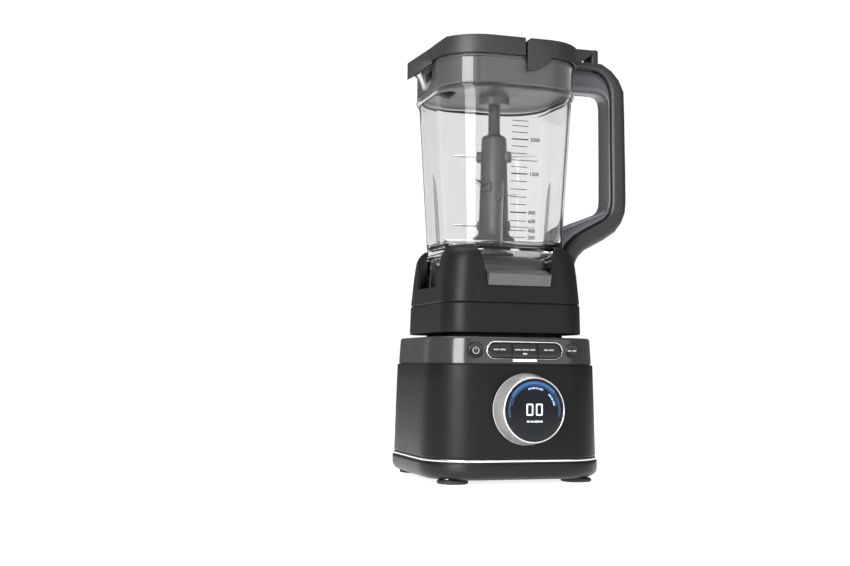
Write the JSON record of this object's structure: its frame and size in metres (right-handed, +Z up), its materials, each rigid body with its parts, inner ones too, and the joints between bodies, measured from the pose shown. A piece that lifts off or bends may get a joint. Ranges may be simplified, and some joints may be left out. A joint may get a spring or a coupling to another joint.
{
  "type": "countertop blender",
  "caption": "Countertop blender: motor base with turning dial and push buttons, lift-off clear jug with handle, stacked blades and locking lid.",
  "frame": {"origin": "on the motor's spin axis, at the level that the feet stand on", "axes": "+Z up along the spin axis, the dial and buttons face -Y, the handle points to +X"},
  "size_m": [0.2335, 0.1987, 0.4348],
  "materials": {
    "rubber_black": "matte moulded rubber",
    "casing_black": "fine satin moulded",
    "trim_bright": "bright plated",
    "band_grey": "glossy moulded",
    "steel_screw": "zinc plated",
    "light_white": "diffuse light guide",
    "board_green": "solder mask",
    "display_black": "satin moulded",
    "display_glass": "dark polished cover",
    "cast_metal": "die cast",
    "core_steel": "laminated",
    "winding_copper": "enamelled wire",
    "holder_brown": "phenolic",
    "carbon": "pressed carbon",
    "bearing_steel": "ground",
    "shaft_steel": "ground",
    "fan_white": "moulded",
    "dial_metal": "circular brushed",
    "inner_grey": "moulded",
    "button_black": "glossy moulded",
    "plunger_red": "moulded",
    "jug_clear": "clear moulded",
    "collar_grey": "satin moulded",
    "ledge_grey": "glossy moulded",
    "handle_grey": "satin moulded",
    "insert_grey": "glossy moulded",
    "column_grey": "satin moulded",
    "blade_steel": "ground edges",
    "lid_grey": "satin moulded",
    "seal_red": "silicone"
  },
  "bodies": {
    "base": {"suction_feet": "rubber_black", "base_tray": "casing_black", "base_screws": "steel_screw", "trim_ring": "trim_bright", "motor_housing": "casing_black", "control_band": "band_grey", "deck_screws": "steel_screw", "jug_seat": "rubber_black", "button_bezel": "trim_bright", "indicator_light": "light_white", "control_board": "board_green", "display_can": "display_black", "display_window": "display_glass", "display_board": "board_green", "lower_bracket": "cast_metal", "upper_bracket": "cast_metal", "field_core": "core_steel", "field_windings": "winding_copper", "brush_holders": "holder_brown", "carbon_brushes": "carbon", "lower_bearing": "bearing_steel", "upper_bearing": "bearing_steel", "motor_dampers": "rubber_black", "motor_screws": "steel_screw", "cord_gland": "rubber_black"},
    "rotor": {"motor_shaft": "shaft_steel", "rotor_core": "core_steel", "commutator": "winding_copper", "cooling_fan": "fan_white", "drive_socket": "inner_grey"},
    "dial": {"dial_ring": "dial_metal", "dial_carrier": "inner_grey", "encoder_wheel": "fan_white"},
    "power_key": {"power_button": "button_black"},
    "left_key": {"left_mode_button": "button_black"},
    "centre_key": {"centre_mode_button": "button_black"},
    "right_key": {"right_mode_button": "button_black"},
    "pulse_key": {"pulse_button": "button_black"},
    "interlock": {"interlock_plunger": "plunger_red"},
    "jug_assembly": {"jug": "jug_clear", "collar_band": "collar_grey", "collar_crown": "collar_grey", "crown_ledge": "ledge_grey", "jug_hub": "inner_grey", "spindle_bearing": "bearing_steel", "spindle_seal": "seal_red", "handle_shell": "handle_grey", "handle_insert": "insert_grey", "handle_screws": "steel_screw"},
    "blade_stack": {"drive_spindle": "shaft_steel", "blade_column": "column_grey", "blades": "blade_steel"},
    "lid": {"lid_cover": "lid_grey", "lid_plug": "lid_grey", "lid_gasket": "rubber_black", "lever_pins": "steel_screw"},
    "lever": {"locking_lever": "lid_grey"},
    "latch_button": {"release_button": "lid_grey"},
    "pour_cap": {"spout_cap": "lid_grey"}
  },
  "joints": [
    {"name": "motor_spin", "type": "hinge", "parent": "base", "child": "rotor", "pos_m": [0, 0, 0.06], "axis": [0, 0, 1], "continuous": true},
    {"name": "dial_turn", "type": "hinge", "parent": "base", "child": "dial", "pos_m": [0, -0.1, 0.0691], "axis": [0, 1, 0], "continuous": true},
    {"name": "power_press", "type": "slide", "parent": "base", "child": "power_key", "axis": [0, 1, 0], "range_m": [0, 0.001], "stiffness_N_per_m": 900, "springref_m": -0.001},
    {"name": "left_press", "type": "slide", "parent": "base", "child": "left_key", "axis": [0, 1, 0], "range_m": [0, 0.001], "stiffness_N_per_m": 900, "springref_m": -0.001},
    {"name": "centre_press", "type": "slide", "parent": "base", "child": "centre_key", "axis": [0, 1, 0], "range_m": [0, 0.001], "stiffness_N_per_m": 900, "springref_m": -0.001},
    {"name": "right_press", "type": "slide", "parent": "base", "child": "right_key", "axis": [0, 1, 0], "range_m": [0, 0.001], "stiffness_N_per_m": 900, "springref_m": -0.001},
    {"name": "pulse_press", "type": "slide", "parent": "base", "child": "pulse_key", "axis": [0, 1, 0], "range_m": [0, 0.001], "stiffness_N_per_m": 900, "springref_m": -0.001},
    {"name": "interlock_press", "type": "slide", "parent": "base", "child": "interlock", "axis": [0, 0, -1], "range_m": [0, 0.0015], "stiffness_N_per_m": 400, "springref_m": -0.001},
    {"name": "jug_lift", "type": "slide", "parent": "base", "child": "jug_assembly", "axis": [0, 0, 1], "range_m": [0, 0.06]},
    {"name": "blade_spin", "type": "hinge", "parent": "jug_assembly", "child": "blade_stack", "pos_m": [0, 0, 0.3], "axis": [0, 0, 1], "continuous": true},
    {"name": "lid_lift", "type": "slide", "parent": "jug_assembly", "child": "lid", "axis": [0, 0, 1], "range_m": [0, 0.08]},
    {"name": "lever_fold", "type": "hinge", "parent": "lid", "child": "lever", "pos_m": [0.014, 0, 0.414], "axis": [0, -1, 0], "range_deg": [0, 90]},
    {"name": "release_press", "type": "slide", "parent": "lever", "child": "latch_button", "axis": [0, 0, -1], "range_m": [0, 0.002], "stiffness_N_per_m": 500, "springref_m": -0.001},
    {"name": "cap_flip", "type": "hinge", "parent": "lid", "child": "pour_cap", "pos_m": [-0.0385, 0, 0.4203], "axis": [0, 1, 0], "range_deg": [0, 110]}
  ],
  "couplings": [
    {"joint": "blade_spin", "follows": "motor_spin", "ratio": 1}
  ]
}
